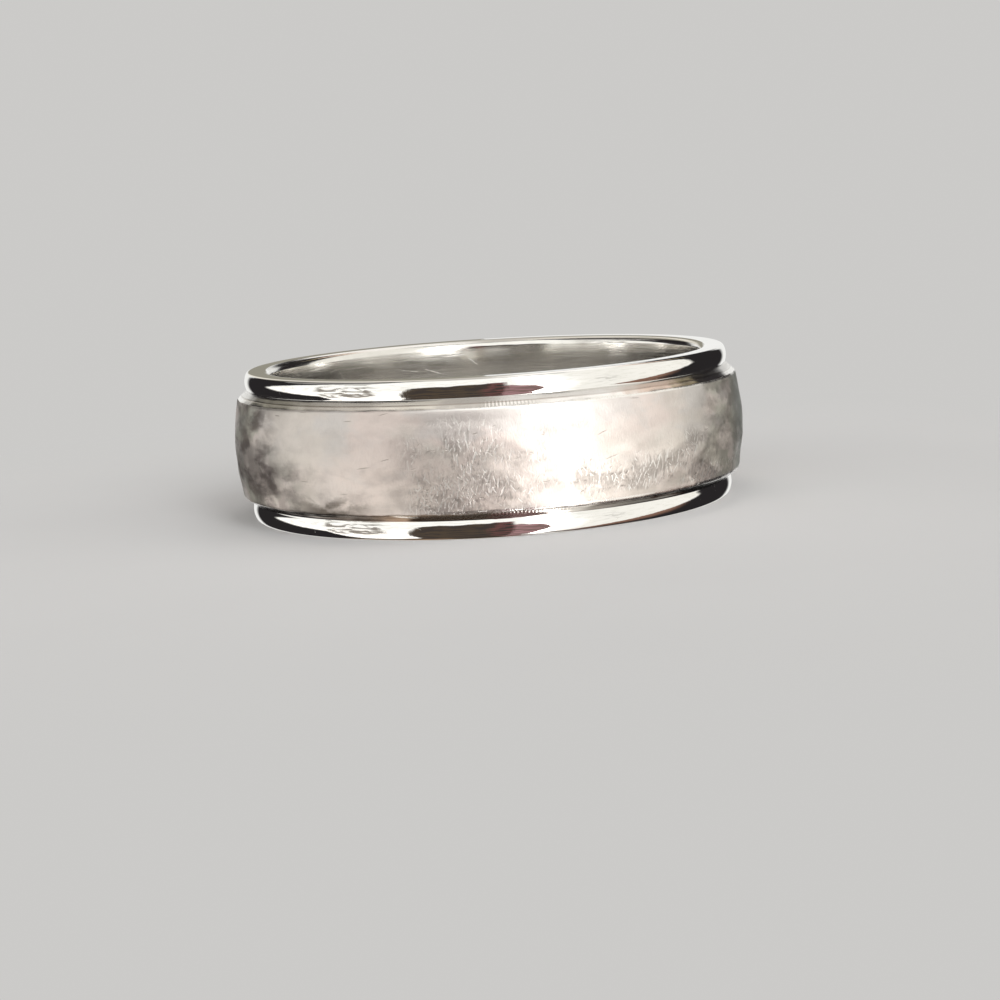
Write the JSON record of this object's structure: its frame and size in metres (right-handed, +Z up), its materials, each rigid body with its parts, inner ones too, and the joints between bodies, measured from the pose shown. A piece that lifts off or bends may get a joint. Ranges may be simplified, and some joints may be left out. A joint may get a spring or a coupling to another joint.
{
  "type": "band ring",
  "caption": "Finger ring: a round band with a matte planished raised centre, whose bevelled shoulders run down to two mirror-polished domed rims, and a smooth finger hole with rounded ends.",
  "frame": {"origin": "on the ring's axis, in the plane of the lower rim's land, which it rests on", "axes": "+Z up along the ring's axis, through the finger hole; the ring is round about Z, so X and Y are any two square directions across it"},
  "size_m": [0.0225, 0.0224, 0.0065],
  "materials": {
    "silver": "mirror-polished rims and finger hole, turned shoulders; matte planished and brushed raised centre"
  },
  "bodies": {
    "root": {"band": "silver"}
  },
  "joints": []
}
